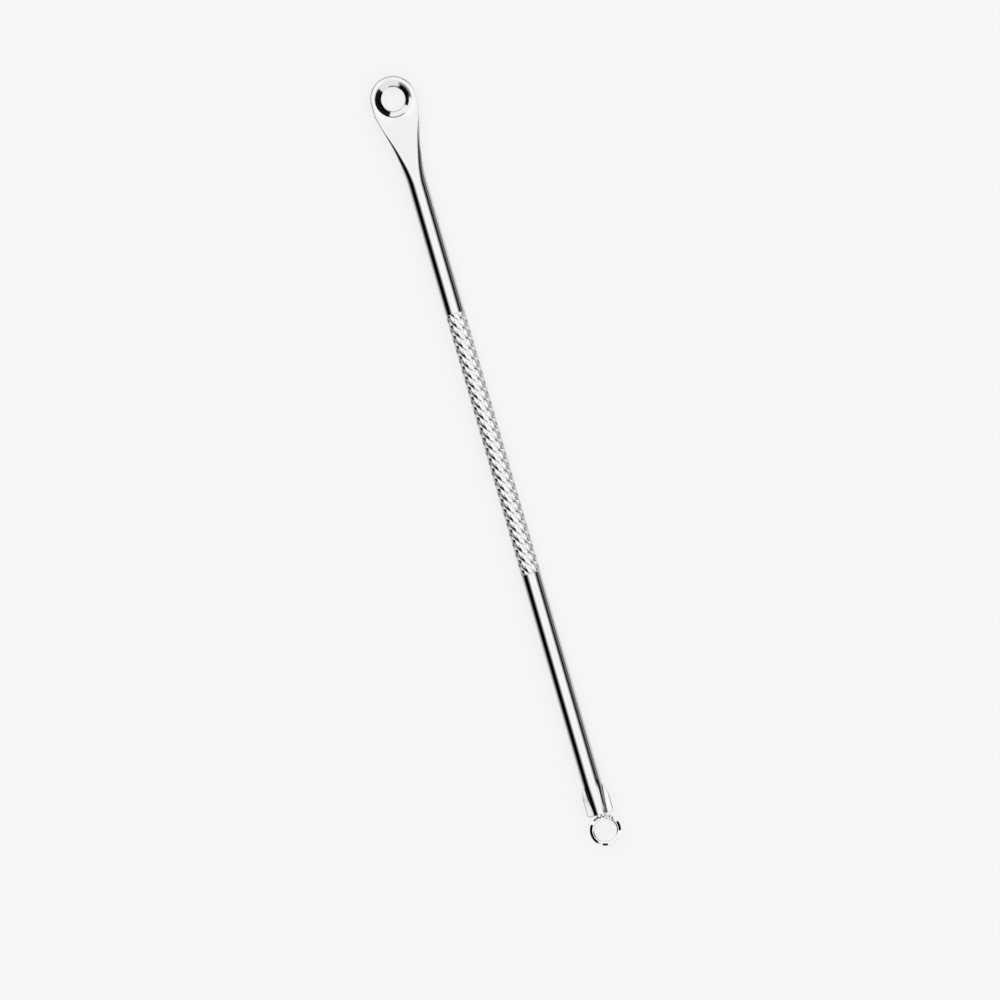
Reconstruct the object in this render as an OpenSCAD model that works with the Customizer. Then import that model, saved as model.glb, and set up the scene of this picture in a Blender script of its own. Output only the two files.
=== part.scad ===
// Double-ended comedone extractor: a knurled grip with a pierced spoon pressed into one end and a
// crimped wire loop at the other. It lies along X with the spoon at +X and its dished face up.
// The origin is under the middle of the tool, on the surface that it lies on.

/* [Grip] */
// Length of the knurled grip
grip_len = 40.6; // [30:0.1:60]
// Height of the knurl's crests above the rods
knurl_rise = 0.07; // [0.05:0.01:0.5]
// Depth of the knurl's grooves
knurl_depth = 0.2; // [0.16:0.01:0.3]
// Distance along the grip from one groove to the next of the same hand
knurl_pitch = 1.6; // [1.2:0.1:2.4]
// Number of grooves of each hand around the grip
knurl_starts = 8; // [6:1:12]
// Length of the chamfer at each end of the grip
grip_chamfer = 0.1; // [0.05:0.01:0.3]

/* [Rods] */
// Diameter of both polished rods
rod_d = 3; // [2.5:0.05:4]
// Diameter of the spigots that are pressed into the grip
spigot_d = 2; // [1.6:0.05:2.4]
// Length of each spigot
spigot_len = 7; // [4:0.5:12]
// Clearance all round in the bonded and crimped joints
fit_gap = 0.02; // [0.01:0.01:0.05]

/* [Spoon] */
// Distance from the grip's end to the centre of the eye
spoon_reach = 33.5; // [26:0.1:45]
// Radius of the spoon's round end
eye_r = 3.4; // [3.2:0.1:4.5]
// Length over which the spoon keeps its full width
head_straight = 1.6; // [0:0.1:3]
// Angle between the spoon's side and the tool's axis
taper_angle = 14; // [11:1:20]
// Radius that blends the spoon's side into the rod
waist_r = 29; // [15:1:32]
// Thickness of the flattened spoon
spoon_t = 1.2; // [1:0.05:1.5]
// Height of the spoon's face above the tool's axis
face_z = 0.45; // [0.3:0.05:0.6]
// Width of the rounding along the spoon's edge
edge_round = 0.3; // [0.2:0.05:0.5]
// Distance from the eye to where the flat starts to swell into the rod
flat_len = 4; // [3.6:0.1:6]

/* [Eye] */
// Radius of the hole
hole_r = 1.8; // [1.4:0.05:2.1]
// Radius of the dish at the spoon's face
dish_r = 2.8; // [2.3:0.05:3]
// Depth of the dish
dish_depth = 0.66; // [0.4:0.02:0.84]
// Radius of the dish's rounded wall, seen in section
dish_wall_r = 3; // [1.2:0.1:6]
// Chamfer at the back of the hole
hole_chamfer = 0.12; // [0.05:0.01:0.2]

/* [Crimped end] */
// Distance from the grip's end to the mouth of the socket
loop_reach = 37.6; // [28:0.1:50]
// Length of the crimped stretch
crimp_len = 5; // [4.1:0.1:7]
// Diameter of the rounded ridge at the mouth
ridge_d = 2.4; // [2.2:0.05:2.8]
// Depth of the flat back below the tool's axis
back_z = 0.7; // [0.55:0.05:0.9]
// Length of the slope from the round rod down to the flat back
back_slope_len = 2; // [1:0.1:3]
// Width across the two wings
wing_w = 4; // [3.4:0.1:5]
// Thickness of the flattened end, wings and all
wing_t = 1.5; // [1.2:0.05:1.6]
// Length over which the wings keep their full width
wing_len = 2.2; // [1:0.1:2.8]
// Corner radius of the wings at the mouth
wing_corner = 0.3; // [0.1:0.05:0.5]
// Chamfer round the ridge at the mouth
mouth_chamfer = 0.12; // [0.05:0.01:0.2]
// Depth of the socket for the wire's tails
socket_depth = 4.2; // [3:0.1:6]

/* [Wire loop] */
// Diameter of the wire
wire_d = 0.68; // [0.5:0.02:0.82]
// Outer diameter of the loop
loop_d = 4.7; // [3.8:0.1:6]
// Inside radius of the two bends that lead from the loop into its tails
bend_in_r = 0.12; // [0.05:0.01:0.3]
// Straight stretch of the tails between the bends and the mouth
neck_len = 0.17; // [0:0.01:0.6]

/* [Hidden] */

steel = "#c9cbcd";
bright_steel = "#dcdddf";

rod_r = rod_d / 2;
grip_r = rod_r + knurl_rise;
spigot_r = spigot_d / 2;
bore_r = spigot_r + fit_gap;
drill_angle = 118;
bore_spare = 0.4;
bore_depth = spigot_len + bore_spare;
spigot_chamfer = 0.25;

// The knurl is a net of points, with this many rows to a pitch and this many columns to a groove.
knurl_steps = 4;
knurl_cols = knurl_steps * knurl_starts;
knurl_rows = round(knurl_steps * grip_len / knurl_pitch);
knurl_row = grip_len / knurl_rows;
knurl_stations = concat(
    [0, grip_chamfer],
    [for (i = [1 : knurl_rows - 1]) i * knurl_row],
    [grip_len - grip_chamfer, grip_len]
);
// A turn of one column rests the grip on two lines of crests, and not on one.
knurl_phase = 360 / knurl_cols;

wire_r = wire_d / 2;
loop_mid_r = loop_d / 2 - wire_r;
bend_r = bend_in_r + wire_r;
tail_gap = 0.02;
tail_y = wire_r + tail_gap / 2;
bend_angle = asin((tail_y + bend_r) / (loop_mid_r + bend_r));
bend_x = (loop_mid_r + bend_r) * cos(bend_angle);
socket_spare = 0.3;
tail_len = neck_len + socket_depth - socket_spare;
wire_lap = 0.05;

overall_len = eye_r + spoon_reach + grip_len + loop_reach + neck_len + bend_x + loop_d / 2;
eye_x = overall_len / 2 - eye_r;
grip_front = eye_x - spoon_reach;
grip_back = grip_front - grip_len;
mouth_x = grip_back - loop_reach;
loop_x = mouth_x - neck_len - bend_x;
axis_z = grip_r * cos(180 / (2 * knurl_starts));

// Where the spoon's side, a straight taper, leaves its round end and runs into the rod.
turn_in = eye_r * sin(taper_angle);
taper_start = head_straight + turn_in;
taper_meet = head_straight + (eye_r / cos(taper_angle) - rod_r) / tan(taper_angle);
waist_tangent = waist_r * tan(taper_angle / 2);
waist_start = taper_meet - waist_tangent * cos(taper_angle);
waist_end = taper_meet + waist_tangent;
back_depth = spoon_t - face_z;
// A blend or a bend ends this much under the round piece that it runs into.
skin = 0.01;
rod_overlap = 0.5;
// How far a cutter reaches beyond what it cuts.
beyond = 1;

arc_steps = 15;
turn_in_steps = 3;
taper_steps = 20;
edge_steps = 12;

// Half the spoon's width at a distance from the eye towards the grip.
function spoon_half_width(x) =
    x < head_straight ? eye_r :
    x < taper_start ? sqrt(eye_r * eye_r - pow(x - head_straight, 2)) :
    x < waist_start ? eye_r / cos(taper_angle) - (x - head_straight) * tan(taper_angle) :
    x < waist_end ? rod_r + waist_r - sqrt(waist_r * waist_r - pow(waist_end - x, 2)) :
    rod_r;

// How far the section at x has gone from the flat spoon, 0, to the round rod, 1.
function swell(x) = x < flat_len ? 0 : x > waist_end ? 1 : (x - flat_len) / (waist_end - flat_len);
function ease(t) = t * t * (3 - 2 * t);
function top_height(x) = face_z + (rod_r - face_z) * ease(swell(x)) - (x < waist_end ? 0 : skin);
function back_height(x) = back_depth + (rod_r - back_depth) * ease(swell(x)) - (x < waist_end ? 0 : skin);
function side_width(x) = spoon_half_width(x) - (x < waist_end ? 0 : skin);
function corner_width(x) = edge_round + (rod_r - 2 * skin - edge_round) * pow(swell(x), 2);

// One side of the spoon's rim from its tip to the rod: [distance from the eye, turn about the eye].
rim = concat(
    [for (i = [0 : arc_steps]) [0, 90 * i / arc_steps]],
    [[head_straight / 2, 90]],
    [for (i = [0 : turn_in_steps - 1]) [head_straight + turn_in * i / turn_in_steps, 90]],
    [for (i = [0 : taper_steps]) [taper_start + (waist_end - taper_start) * i / taper_steps, 90]],
    [[waist_end + rod_overlap, 90]]
);
rim_last = len(rim) - 1;

// A point of the rim: side is -1 or 1, and a is the angle round the edge from its back to its face.
function rim_point(i, side, a) =
    let (
        x = rim[i][0],
        turn = rim[i][1],
        out = side_width(x) - corner_width(x) * (1 - cos(a)),
        height = a > 0 ? top_height(x) : back_height(x)
    )
    [x - out * cos(turn), side * out * sin(turn), height * sin(a)];

module spoon_blank() {
    ring = edge_steps + 1;
    points = [
        for (j = [-rim_last : rim_last])
            for (k = [0 : edge_steps])
                rim_point(abs(j), j < 0 ? -1 : 1, -90 + 180 * k / edge_steps)
    ];
    function at(j, k) = (j + rim_last) * ring + k;
    edge = [
        for (j = [-rim_last : rim_last - 1])
            for (k = [0 : edge_steps - 1])
                each [
                    [at(j, k), at(j + 1, k), at(j + 1, k + 1)],
                    [at(j, k), at(j + 1, k + 1), at(j, k + 1)]
                ]
    ];
    face = concat(
        [[at(0, edge_steps), at(1, edge_steps), at(-1, edge_steps)]],
        [
            for (j = [1 : rim_last - 1])
                [at(j, edge_steps), at(j + 1, edge_steps), at(-j - 1, edge_steps), at(-j, edge_steps)]
        ]
    );
    back = concat(
        [[at(0, 0), at(-1, 0), at(1, 0)]],
        [for (j = [1 : rim_last - 1]) [at(j, 0), at(-j, 0), at(-j - 1, 0), at(j + 1, 0)]]
    );
    rod_end = [concat(
        [for (k = [0 : edge_steps]) at(rim_last, k)],
        [for (k = [edge_steps : -1 : 0]) at(-rim_last, k)]
    )];
    polyhedron(points, concat(edge, face, back, rod_end), convexity = 4);
}

// The dish narrows from the face down to the hole along a wall that is an arc in section.
dish_run = dish_r - hole_r;
dish_chord = norm([dish_run, dish_depth]);
dish_bulge = sqrt(dish_wall_r * dish_wall_r - dish_chord * dish_chord / 4) / dish_chord;
dish_arc_centre = [
    (dish_r + hole_r) / 2 + dish_bulge * dish_depth,
    face_z - dish_depth / 2 - dish_bulge * dish_run
];

module eye_cutter() {
    rotate_extrude($fn = 96) {
        difference() {
            translate([0, face_z - dish_depth]) square([dish_r, dish_depth + beyond]);
            translate(dish_arc_centre) circle(dish_wall_r, $fn = 180);
        }
        translate([0, -back_depth - beyond]) square([hole_r, spoon_t + beyond]);
        polygon([
            [0, -back_depth - beyond],
            [hole_r + hole_chamfer + beyond, -back_depth - beyond],
            [hole_r, -back_depth + hole_chamfer],
            [0, -back_depth + hole_chamfer]
        ]);
    }
}

// Stands a shape made along Z on the tool's axis, pointing towards the spoon.
module on_axis(x) {
    translate([x, 0, axis_z]) rotate([0, 90, 0]) children();
}

module spigot() {
    rotate_extrude($fn = 64)
        polygon([
            [0, 0],
            [spigot_r, 0],
            [spigot_r, spigot_len - spigot_chamfer],
            [spigot_r - spigot_chamfer, spigot_len],
            [0, spigot_len]
        ]);
}

module grip_bore() {
    translate([0, 0, -beyond]) cylinder(r = bore_r, h = bore_depth + beyond, $fn = 64);
    translate([0, 0, bore_depth])
        cylinder(r1 = bore_r, r2 = 0, h = bore_r / tan(drill_angle / 2), $fn = 64);
}

// Height of the knurl from 0 in a groove to 1 on a crest, at a turn and a place along the grip.
function wave(u) = 2 * abs(u - round(u));
function crown(m) = 1 - pow(1 - m, 2);
function knurl_height(turn, x) =
    let (
        around = (turn + knurl_phase) * knurl_starts / 360,
        along = x / (knurl_steps * knurl_row)
    )
    crown(min(wave(around + along), wave(around - along)));
function knurl_r(turn, x) =
    let (end_cut = grip_chamfer - min(x, grip_len - x))
    grip_r - max(knurl_depth * (1 - knurl_height(turn, x)), end_cut + knurl_depth / 2, 0);

module knurl() {
    stations = knurl_stations;
    last = len(stations) - 1;
    points = [
        for (i = [0 : last])
            for (j = [0 : knurl_cols - 1])
                let (
                    turn = 360 * j / knurl_cols,
                    at_end = i == 0 || i == last,
                    r = at_end ? grip_r - grip_chamfer - knurl_depth / 2 : knurl_r(turn, stations[i])
                )
                [r * cos(turn), r * sin(turn), stations[i]]
    ];
    function at(i, j) = i * knurl_cols + j % knurl_cols;
    skin_faces = [
        for (i = [0 : last - 1])
            for (j = [0 : knurl_cols - 1])
                let (a = at(i, j), b = at(i + 1, j), c = at(i + 1, j + 1), d = at(i, j + 1))
                    each (i + j) % 2 == 0 ? [[a, b, c], [a, c, d]] : [[a, b, d], [b, c, d]]
    ];
    ends = [
        [for (j = [0 : knurl_cols - 1]) at(0, j)],
        [for (j = [knurl_cols - 1 : -1 : 0]) at(last, j)]
    ];
    polyhedron(points, concat(skin_faces, ends), convexity = 6);
}

module knurled_grip() {
    color(steel)
        on_axis(grip_back)
            difference() {
                knurl();
                grip_bore();
                translate([0, 0, grip_len]) mirror([0, 0, 1]) grip_bore();
            }
}

module spoon_shank() {
    color(bright_steel) {
        difference() {
            union() {
                on_axis(grip_front) cylinder(r = rod_r, h = spoon_reach - waist_end, $fn = 96);
                translate([eye_x, 0, axis_z]) mirror([1, 0, 0]) spoon_blank();
            }
            translate([eye_x, 0, axis_z]) eye_cutter();
        }
        on_axis(grip_front) mirror([0, 0, 1]) spigot();
    }
}

// The wings start a little inside the rod and widen along an arc.
wing_bury = 0.1;
wing_top = wing_t - back_z;
wing_root = sqrt(rod_r * rod_r - pow(max(back_z, wing_top), 2)) - wing_bury;
flare_run = crimp_len - wing_len;
flare_rise = wing_w / 2 - wing_root;
flare_r = (flare_run * flare_run + flare_rise * flare_rise) / (2 * flare_rise);

// Plan of the wings, from the mouth at 0 towards the rod.
module wing_plan() {
    half = wing_w / 2;
    translate([wing_corner, -half]) square([wing_len - wing_corner, wing_w]);
    translate([0, wing_corner - half]) square([wing_len, wing_w - 2 * wing_corner]);
    for (side = [-1, 1])
        translate([wing_corner, side * (half - wing_corner)]) circle(wing_corner, $fn = 48);
    intersection() {
        translate([wing_len, -half]) square([flare_run, wing_w]);
        translate([wing_len, half - flare_r]) circle(flare_r, $fn = 180);
        translate([wing_len, flare_r - half]) circle(flare_r, $fn = 180);
    }
}

module ridge_and_rod() {
    ridge_r = ridge_d / 2;
    cylinder(r1 = ridge_r - mouth_chamfer, r2 = ridge_r, h = mouth_chamfer, $fn = 96);
    translate([0, 0, mouth_chamfer])
        cylinder(r1 = ridge_r, r2 = rod_r, h = crimp_len - mouth_chamfer, $fn = 96);
    translate([0, 0, crimp_len]) cylinder(r = rod_r, h = loop_reach - crimp_len, $fn = 96);
}

// The cut stops a hair short of the back, so that the wings' own face is the whole of the back.
module back_cutter() {
    translate([mouth_x, rod_r + beyond, axis_z])
        rotate([90, 0, 0])
            linear_extrude(rod_d + 2 * beyond)
                polygon([
                    [-beyond, skin - back_z],
                    [crimp_len - back_slope_len, skin - back_z],
                    [crimp_len, -rod_r],
                    [crimp_len, -rod_r - beyond],
                    [-beyond, -rod_r - beyond]
                ]);
}

// The socket is two holes side by side, with the web between them taken out.
module wire_socket() {
    r = wire_r + fit_gap;
    translate([mouth_x - beyond, 0, axis_z]) {
        for (side = [-1, 1])
            translate([0, side * tail_y, 0])
                rotate([0, 90, 0]) cylinder(r = r, h = socket_depth + beyond, $fn = 48);
        translate([0, -tail_y, -r]) cube([socket_depth + beyond, 2 * tail_y, 2 * r]);
    }
}

module loop_shank() {
    color(bright_steel) {
        difference() {
            union() {
                difference() {
                    on_axis(mouth_x) ridge_and_rod();
                    back_cutter();
                }
                translate([mouth_x, 0, axis_z - back_z]) linear_extrude(wing_t) wing_plan();
            }
            wire_socket();
        }
        on_axis(grip_back) spigot();
    }
}

// A bend is a hair thinner than the wire and its ends lap into the loop and the tail.
module wire_bend() {
    lap = 180 / PI * wire_lap / bend_r;
    translate([bend_x, tail_y + bend_r, 0])
        rotate([0, 0, 180 + bend_angle - lap])
            rotate_extrude(angle = 90 - bend_angle + 2 * lap, $fn = 96)
                translate([bend_r, 0]) circle(wire_r - skin, $fn = 48);
}

module wire_loop() {
    color(bright_steel)
        translate([loop_x, 0, axis_z]) {
            rotate([0, 0, bend_angle])
                rotate_extrude(angle = 360 - 2 * bend_angle, $fn = 120)
                    translate([loop_mid_r, 0]) circle(wire_r, $fn = 48);
            for (side = [0, 1])
                mirror([0, side, 0]) {
                    wire_bend();
                    translate([bend_x, tail_y, 0])
                        rotate([0, 90, 0]) cylinder(r = wire_r, h = tail_len, $fn = 48);
                }
        }
}

knurled_grip();
spoon_shank();
loop_shank();
wire_loop();
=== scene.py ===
"""Builds a comedone extractor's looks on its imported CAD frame: four steel pieces and a studio stage."""

import math

import bmesh
import bpy
from bpy.props import FloatProperty, FloatVectorProperty, IntProperty, PointerProperty
from mathutils import Matrix, Vector


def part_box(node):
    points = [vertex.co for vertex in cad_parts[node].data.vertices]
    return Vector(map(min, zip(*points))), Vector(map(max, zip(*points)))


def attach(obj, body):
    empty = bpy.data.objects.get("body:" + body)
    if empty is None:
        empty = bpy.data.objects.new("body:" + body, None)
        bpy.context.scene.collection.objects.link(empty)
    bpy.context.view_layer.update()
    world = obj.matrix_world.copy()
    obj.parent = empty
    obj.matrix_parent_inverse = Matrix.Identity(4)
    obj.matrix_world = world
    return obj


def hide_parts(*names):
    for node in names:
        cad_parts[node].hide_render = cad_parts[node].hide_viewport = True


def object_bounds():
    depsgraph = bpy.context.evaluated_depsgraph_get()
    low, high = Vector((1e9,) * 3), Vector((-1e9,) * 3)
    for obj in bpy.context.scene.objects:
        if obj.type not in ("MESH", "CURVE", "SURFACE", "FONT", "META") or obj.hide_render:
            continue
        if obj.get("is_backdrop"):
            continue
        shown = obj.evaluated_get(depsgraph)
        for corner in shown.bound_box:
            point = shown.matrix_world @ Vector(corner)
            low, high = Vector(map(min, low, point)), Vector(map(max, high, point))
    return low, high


bl_info = {
    "name": "Comedone extractor",
    "version": (1, 0, 0),
    "blender": (4, 5, 0),
    "location": "3D View > Sidebar > Extractor",
    "description": "Builds the pieces of a comedone extractor and the stage it is photographed on",
    "category": "Mesh",
}

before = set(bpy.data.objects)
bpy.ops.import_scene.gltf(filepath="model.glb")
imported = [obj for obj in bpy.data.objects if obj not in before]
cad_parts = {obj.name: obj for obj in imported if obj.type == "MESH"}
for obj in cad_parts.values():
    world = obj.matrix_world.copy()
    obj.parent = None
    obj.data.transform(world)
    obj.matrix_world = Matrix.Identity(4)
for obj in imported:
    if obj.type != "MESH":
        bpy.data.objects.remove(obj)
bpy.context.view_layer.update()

MM = 0.001
FULL_TURN = 2 * math.pi
MERGE_DISTANCE = 0.0005 * MM
ROD_EDGE_STEPS = 3
CARD_STEPS = 24

GRIP_LOW, GRIP_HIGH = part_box("knurled_grip")
AXIS_Z = (GRIP_LOW.z + GRIP_HIGH.z) / 2
GRIP_BACK = GRIP_LOW.x
GRIP_FRONT = GRIP_HIGH.x
TIP_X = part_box("spoon_shank")[1].x
MOUTH_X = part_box("loop_shank")[0].x
LOOP_END_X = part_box("wire_loop")[0].x


def in_radians(*degrees):
    """Degrees turned into radians."""
    return tuple(math.radians(value) for value in degrees)


def length(name, description, millimetres):
    """A length that a user may change, shown in the scene's own unit."""
    return FloatProperty(
        name=name, description=description, default=millimetres * MM, min=0, unit="LENGTH", precision=5
    )


def colour(name, description, value):
    """A colour that a user may change."""
    return FloatVectorProperty(
        name=name, description=description, default=value, size=3, min=0, max=1, subtype="COLOR"
    )


def angle(name, description, degrees):
    """An angle that a user may change."""
    default = math.radians(degrees)
    return FloatProperty(name=name, description=description, default=default, unit="ROTATION")


def number(name, description, value):
    """A share or a brightness that a user may change."""
    return FloatProperty(name=name, description=description, default=value, min=0)


class GripSizes(bpy.types.PropertyGroup):
    """Sizes of the knurled grip."""

    crest_radius: length("Crest radius", "Radius over the knurl's crests", 1.57)
    groove_depth: length("Groove depth", "Depth of the grooves that run one way round", 0.2)
    cross_depth: length("Cross depth", "Depth of the grooves that cross them", 0.16)
    pitch: length("Pitch", "Distance along the grip between grooves of one hand", 1.6)
    starts: IntProperty(
        name="Starts", description="Grooves of each hand around the grip", default=8, min=4, max=16
    )
    chamfer: length("Chamfer", "Chamfer at both ends of the grip", 0.06)
    bore_radius: length("Bore radius", "Radius of the bores that take the spigots", 1.02)
    bore_depth: length("Bore depth", "Depth of each bore down to its drill point", 7.4)


class RodSizes(bpy.types.PropertyGroup):
    """Sizes that both polished rods share."""

    radius: length("Rod radius", "Radius of the polished rods", 1.5)
    end_round: length("End rounding", "Rounding of the rod's edge against the grip", 0.02)
    spigot_radius: length("Spigot radius", "Radius of the spigots in the grip", 1.0)
    spigot_length: length("Spigot length", "Length of each spigot", 7)
    spigot_chamfer: length("Spigot chamfer", "Chamfer at the end of each spigot", 0.25)


class SpoonSizes(bpy.types.PropertyGroup):
    """Sizes of the forged spoon and its eye."""

    eye_radius: length("Eye radius", "Radius of the spoon's round end", 3.4)
    straight: length("Straight", "Length over which the spoon keeps its full width", 1.6)
    taper: angle("Taper", "Angle between the spoon's side and the axis", 14)
    waist_radius: length("Waist radius", "Radius that blends the side into the rod", 29)
    face_height: length("Face height", "Height of the face above the axis", 0.45)
    back_depth: length("Back depth", "Depth of the back below the axis", 0.75)
    edge_round: length("Edge rounding", "Width of the rounding along the edge", 0.18)
    edge_tilt: angle("Edge tilt", "Slope at which the rounding meets the side", 55)
    keen_round: length("Keen edge rounding", "Width of the rounding along the keen right side", 0.03)
    edge_fade: number("Edge fade", "Share of the way to the rod where the side starts to round off", 0.35)
    flat_length: length("Flat length", "Distance from the eye to where the flat starts to swell", 4)
    hole_radius: length("Hole radius", "Radius of the hole", 1.8)
    dish_radius: length("Dish radius", "Radius of the dish at the face", 2.9)
    dish_depth: length("Dish depth", "Depth of the dish", 0.66)
    dish_wall: length("Dish wall", "Radius of the dish's wall, seen in section", 3)
    hole_chamfer: length("Hole chamfer", "Chamfer at the back of the hole", 0.12)


class CrimpSizes(bpy.types.PropertyGroup):
    """Sizes of the crimped end that holds the wire."""

    stretch: length("Crimped stretch", "Length of the crimped stretch", 5)
    ridge_radius: length("Ridge radius", "Radius of the rounded ridge at the mouth", 1.2)
    back_depth: length("Back depth", "Depth of the flat back below the axis", 0.7)
    back_slope: length("Back slope", "Length of the slope down to the flat back", 2)
    wing_half: length("Wing reach", "Reach of each wing from the axis", 2)
    wing_thickness: length("Wing thickness", "Thickness of the flattened end at its left wing", 1.5)
    right_thickness: length("Right thickness", "Thickness of the flattened end at its right wing", 1.3)
    wing_length: length("Wing length", "Length over which the wings keep their width", 2.2)
    wing_corner: length("Wing corner", "Corner radius of the wings in plan", 0.3)
    left_edge: length("Left edge", "Rounding along the left wing's edges", 0.06)
    right_edge: length("Right edge", "Rounding along the right wing's edges", 0.05)
    fillet: length("Fillet", "Largest fillet between the ridge and the wings", 0.4)
    left_droop: length("Left droop", "How far the left wing's face falls from the ridge to its edge", 0.34)
    right_droop: length("Right droop", "How far the right wing's face falls towards its edge", 0.14)
    mouth_round: length("Mouth rounding", "Rounding round the mouth", 0.1)
    socket_depth: length("Socket depth", "Depth of the socket for the wire's tails", 4.2)
    clearance: length("Clearance", "Clearance between the wire and its socket", 0.02)


class WireSizes(bpy.types.PropertyGroup):
    """Sizes of the wire loop."""

    radius: length("Wire radius", "Radius of the wire", 0.34)
    loop_radius: length("Loop radius", "Outer radius of the loop", 2.35)
    bend_inside: length("Bend inside", "Inside radius of the two bends", 0.12)
    rub_start: angle("Rubbed flat's start", "Tilt at which the flat along the loop's outside starts", -7.5)
    rub_end: angle("Rubbed flat's end", "Tilt at which the flat along the loop's outside ends", 90)
    tail_gap: length("Tail gap", "Gap between the two tails", 0.02)
    tail_spare: length("Tail spare", "Room between the tails and the socket's end", 0.3)


class StudioSizes(bpy.types.PropertyGroup):
    """The studio's light: its brightness, its angles seen from the tool, and the reach of the pool of light
    painted on the floor.
    """

    strength: number("Overhead light", "Brightness overhead", 1.3)
    gap_light: number("Gap", "Share of that light in the gap over the tool", 0.9)
    gap_turn: angle("Gap width", "Half the width of the gap between the lights over the tool", 4)
    top_full: angle("Full light", "Angle from the zenith where the overhead light starts to fade", 24)
    top_end: angle("Light's end", "Angle from the zenith where the overhead light ends", 59)
    ends: number("End light", "Brightness past the tool's ends", 1.2)
    low_light: number("Low light", "Brightness low down on the right", 0.4)
    low_start: angle("Low light's start", "Angle from the zenith where the low light starts", 66)
    low_end: angle("Low light's end", "Angle from the zenith where the low light is full", 96)
    left_pool: length("Left pool", "Reach of the bright floor to the tool's left", 5.6)
    right_pool: length("Right pool", "Reach of the bright floor to the tool's right", 10.5)


# Dark walls of the tent: turn about the zenith, half width and softness in degrees, and darkness.
DARK_WALLS = (
    (106, 32, 8, 1.0),
    (-86, 14, 6, 1.0),
    (180, 50, 15, 0.12),
)

# The level part of a direction counts as at least this, because it is divided by.
LEAST_LEVEL = 0.001

# A dark strip low in the tent, past the loop's end: where it fades in by the direction's x and y.
STRIP_ALONG = (-0.1, -0.4)
STRIP_ACROSS = (-0.15, 0.0)
STRIP_DARKNESS = 0.9
# Where its top and its bottom edge fade, as angles from the zenith.
STRIP_TOP = in_radians(70, 73)
STRIP_BOTTOM = in_radians(77, 80)

# The pool of light painted on the floor, which only reflections in the metal show, fades with this power of
# the distance to the side.
PAINTED_POOL_POWER = 2.65
# By the loop the painted pool is narrower, which paints darker reflections into the wire loop: where it
# fades on the left and on the right, and what is left of it there.
LOOP_LEFT_FADE = (1.8 * MM, 2.3 * MM)
LOOP_LEFT_SHARE = 0.05
LOOP_RIGHT_FADE = (-2.4 * MM, -2.1 * MM)
LOOP_RIGHT_SHARE = 0.1
# The places along the tool between which that narrowing starts.
LOOP_REACH = (MOUTH_X - 1.2 * MM, MOUTH_X - 0.6 * MM)
# How much of the matt floor, which holds the shadow, the camera sees.
SHADOW_SHARE = 0.2

# Distance of the dark cards from the end that they stand round.
CARD_DISTANCES = {"spoon": 8 * MM, "crimp": 7 * MM, "loop": 5 * MM}
# The cards: name, end, first and last turn about it, and their lower and upper edge's tilt from upright,
# in degrees.
DARK_CARDS = (
    ("spoon_right_card", "spoon", -136, -24, 88, 34),
    ("spoon_left_card", "spoon", 44, 82, 88, 52),
    ("spoon_front_card", "spoon", -24, 20, 41, 33),
    ("crimp_right_card", "crimp", -110, -70, 79, 58),
    ("loop_left_card", "loop", 54, 80, 88, 55),
    ("loop_right_card", "loop", -109, -72, 88, 55),
    ("loop_end_card", "loop", 154, 174, 88, 55),
)


class Finishes(bpy.types.PropertyGroup):
    """Colours of the steel and of the stage."""

    rod: colour("Rods", "Colour of the polished rods", (0.87, 0.87, 0.875))
    knurl: colour("Knurl", "Colour of the knurl's crests", (0.85, 0.85, 0.855))
    # The grooves' darker colour is painted shade: it stands in for the shade down in the knurl's grooves.
    groove: colour("Grooves", "Colour down in the knurl's grooves", (0.7, 0.7, 0.705))
    wire: colour("Wire", "Colour of the spring wire", (0.85, 0.855, 0.86))
    floor: colour("Floor", "Colour of the floor and backdrop", (0.925, 0.925, 0.925))


def turned(bm, edges, centre, axis, sweep, steps, merge=False):
    """Spins edges and their points about an axis, and returns the edges at the far end."""
    geometry = list(dict.fromkeys(v for e in edges for v in e.verts)) + list(edges)
    spun = bmesh.ops.spin(
        bm, geom=geometry, cent=centre, axis=axis, dvec=(0, 0, 0), angle=sweep, steps=steps,
        use_merge=merge, use_normal_flip=False, use_duplicate=False,
    )
    return [g for g in spun["geom_last"] if isinstance(g, bmesh.types.BMEdge)]


def extruded(bm, edges):
    """Extrudes edges in place, and returns the new edges and their points."""
    made = bmesh.ops.extrude_edge_only(bm, edges=edges)["geom"]
    new_points = [g for g in made if isinstance(g, bmesh.types.BMVert)]
    found = set(new_points)
    new_edges = [
        g for g in made
        if isinstance(g, bmesh.types.BMEdge) and g.verts[0] in found and g.verts[1] in found
    ]
    return new_edges, new_points


def chain(bm, points):
    """A chain of edges through a few points."""
    verts = [bm.verts.new(p) for p in points]
    return [bm.edges.new(pair) for pair in zip(verts, verts[1:])]


def cap(bm, edges):
    """Closes a flat loop of edges with one face."""
    bmesh.ops.contextual_create(bm, geom=edges)


def ring_across(bm, centre, radius, steps, turn=0):
    """A ring of points that faces along the axis, round a centre."""
    points = bmesh.ops.create_circle(bm, cap_ends=False, segments=steps, radius=radius)["verts"]
    faced = Matrix.Rotation(math.pi / 2, 4, "Y") @ Matrix.Rotation(turn, 4, "Z")
    bmesh.ops.transform(bm, matrix=Matrix.Translation(centre) @ faced, verts=points)
    return points


def line_points(first, last, steps):
    """Points along a straight stretch, both ends included."""
    shares = (i / steps for i in range(steps + 1))
    return [tuple(a + (b - a) * done for a, b in zip(first, last)) for done in shares]


def arc_points(centre, radius, first, last, steps):
    """Points along an arc between two angles, both ends included."""
    angles = (first + (last - first) * i / steps for i in range(steps + 1))
    return [(centre[0] + radius * math.cos(a), centre[1] + radius * math.sin(a)) for a in angles]


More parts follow.
